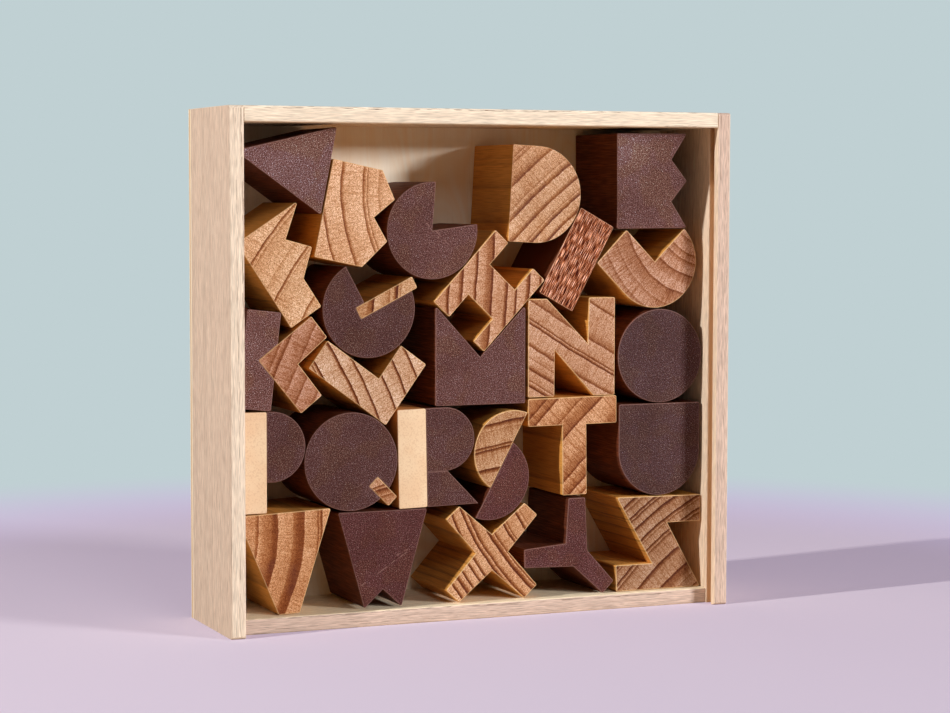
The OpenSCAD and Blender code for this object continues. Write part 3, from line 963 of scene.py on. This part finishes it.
# %% The sweep
FLOOR_FRONT = -4.0
FLOOR_BACK = 2.2
SWEEP_RADIUS = 0.9
SWEEP_HEIGHT = 3.5
SWEEP_STEPS = 16
HALF_WIDTH = 5.0


def sweep_profile():
    """The floor's section from front to back, then round the curve and up the wall."""
    points = [(FLOOR_FRONT, 0.0)]
    for step in range(SWEEP_STEPS + 1):
        angle = math.pi / 2 * step / SWEEP_STEPS
        out, up = math.sin(angle), 1 - math.cos(angle)
        points.append((FLOOR_BACK + SWEEP_RADIUS * out, SWEEP_RADIUS * up))
    return points + [(FLOOR_BACK + SWEEP_RADIUS, SWEEP_HEIGHT)]


profile = sweep_profile()
corners = [(side * HALF_WIDTH, y, z) for y, z in profile for side in (-1, 1)]
strips = [(2 * i, 2 * i + 1, 2 * i + 3, 2 * i + 2) for i in range(len(profile) - 1)]
sweep_mesh = bpy.data.meshes.new("sweep")
sweep_mesh.from_pydata(corners, [], strips)
sweep_mesh.polygons.foreach_set("use_smooth", [True] * len(strips))
sweep = bpy.data.objects.new("sweep", sweep_mesh)
bpy.context.scene.collection.objects.link(sweep)
sweep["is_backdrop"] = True
print("the sweep has", len(strips), "strips")

# %% [markdown]
# Light Path tells the camera's rays from all others. The camera sees pale paper with a breath of
# lavender below and of mint above, while the light that bounces off it is warm, as in the hollows of
# the photograph. Away from the object, what the camera sees fades into an even haze of the same
# tints, which lights nothing.

# %% The paper of the sweep
PAPER = paint(230, 222, 232)
PAPER_TOOTH = paint(234, 226, 235)
WARM_BOUNCE = paint(192, 164, 140)
FLOOR_HAZE = paint(219, 196, 255)
WALL_HAZE = paint(192, 208, 211)
HAZE_FROM, HAZE_TO = 0.3, 0.62
LEAST_HAZE = 0.22

paper = Finish("pale paper")
spot = paper.add("ShaderNodeTexCoord", out="Object")
seen = paper.add("ShaderNodeLightPath", out="Is Camera Ray")
shown = paper.mix(paper.noise(spot, scale=3.0), PAPER, PAPER_TOOTH)
paper.plug(paper.surface.inputs["Base Color"], paper.mix(seen, WARM_BOUNCE, shown))
paper.surface.inputs["Roughness"].default_value = 0.9
paper.surface.inputs["Specular IOR Level"].default_value = 0.1
flat_spot = paper.add("ShaderNodeVectorMath", {"operation": "MULTIPLY"}, {0: spot, 1: (1, 1, 0)})
reach = paper.add("ShaderNodeVectorMath", {"operation": "LENGTH"}, {0: flat_spot}, "Value")
far = paper.rise(reach, HAZE_FROM, HAZE_TO)
haze_colour = paper.mix(far, FLOOR_HAZE, WALL_HAZE)
haze = paper.add("ShaderNodeEmission", None, {"Color": haze_colour, "Strength": 1.0})
haze_share = (far * (1 - LEAST_HAZE) + LEAST_HAZE) * seen
lit = Wire(paper, paper.surface.outputs["BSDF"])
blended = paper.add("ShaderNodeMixShader", None, {0: haze_share, 1: lit, 2: haze})
paper.plug(paper.tree.nodes["Material Output"].inputs["Surface"], blended)
sweep_mesh.materials.append(paper.material)
print("the haze is whole from", HAZE_TO, "m outwards")

# %% [markdown]
# Three lamps make the light of the photograph. A small one stands on the left, nearly in line with
# the front, so it rakes across the end grain, rims the left edges, lights a wedge of the back panel
# and throws the long shadow. A broad one on the right, in front and a little above, lights the
# fronts. A weak one in front and higher up softens what they leave dark. A dim warm world keeps the
# hollows open.

# %% Lamps and world
AIM = Vector((0, 0, 120)) * MM
WORLD_COLOUR = (1.0, 0.78, 0.55, 1)
WORLD_STRENGTH = 0.07


def lamp(name, azimuth, elevation, distance, size, level, colour):
    """An area lamp that looks at the object from a compass azimuth, 0 in front and 90 on the right.

    A level of 1 shows a surface that faces the lamp in just the colour that its material has.
    """
    turn, lift = math.radians(azimuth), math.radians(elevation)
    level_x, level_y = math.sin(turn), -math.cos(turn)
    away = Vector((level_x * math.cos(lift), level_y * math.cos(lift), math.sin(lift)))
    data = bpy.data.lights.new(name, "AREA")
    data.shape = "RECTANGLE"
    data.size, data.size_y = size
    data.energy = level * (math.pi * distance) ** 2
    data.color = colour
    light = bpy.data.objects.new(name, data)
    light.location = AIM + away * distance
    light.rotation_euler = away.to_track_quat("Z", "Y").to_euler()
    bpy.context.scene.collection.objects.link(light)


lamp(
    "raking lamp", azimuth=-81, elevation=28, distance=2.2, size=(0.04, 0.04), level=0.78,
    colour=(1.0, 0.97, 0.92),
)
lamp(
    "broad lamp", azimuth=41, elevation=12, distance=3.4, size=(0.65, 0.45), level=0.84,
    colour=(1.0, 0.98, 0.96),
)
lamp(
    "fill lamp", azimuth=0, elevation=34, distance=2.8, size=(0.8, 0.8), level=0.1,
    colour=(1.0, 0.98, 0.95),
)
world = bpy.data.worlds.new("studio")
world.use_nodes = True
sky = world.node_tree.nodes["Background"]
sky.inputs["Color"].default_value = WORLD_COLOUR
sky.inputs["Strength"].default_value = WORLD_STRENGTH
bpy.context.scene.world = world
bpy.context.scene.view_settings.view_transform = "Standard"

# %% [markdown]
# The camera was fitted to the box's corners in the photograph: it stands 23 degrees to the left of
# the front, a little above the middle, and looks through a long lens.

# %% The camera
CAMERA_PLACE = Vector((-450.1, -1074.6, 201.6)) * MM
AZIMUTH, ELEVATION, ROLL = (math.radians(angle) for angle in (22.987, 3.838, 0.1))
PICTURE_WIDTH = 950
FOCAL_LENGTH_PX = 2427.8
SENSOR_WIDTH = 36

level_part = math.cos(ELEVATION)
look = Vector((math.sin(AZIMUTH) * level_part, math.cos(AZIMUTH) * level_part, -math.sin(ELEVATION)))
level_right = Vector((math.cos(AZIMUTH), -math.sin(AZIMUTH), 0))
level_up = level_right.cross(look)
right = level_right * math.cos(ROLL) + level_up * math.sin(ROLL)
up = level_up * math.cos(ROLL) - level_right * math.sin(ROLL)
lens = bpy.data.cameras.new("camera")
lens.sensor_width = SENSOR_WIDTH
lens.lens = FOCAL_LENGTH_PX / PICTURE_WIDTH * SENSOR_WIDTH
camera = bpy.data.objects.new("camera", lens)
turned_camera = Matrix((right, up, -look)).transposed().to_4x4()
camera.matrix_world = Matrix.Translation(CAMERA_PLACE) @ turned_camera
bpy.context.scene.collection.objects.link(camera)
bpy.context.scene.camera = camera
print("the lens is", round(lens.lens, 1), "mm")

# %% [markdown]
# The size of the dressed object is written beside the packed one, to show that nothing grew.

# %% Sizes and the end
new_low, new_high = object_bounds()
growth_mm = [round((new - old) / MM, 3) for new, old in zip(new_high - new_low, cad_high - cad_low)]
print("grown by", growth_mm, "mm")
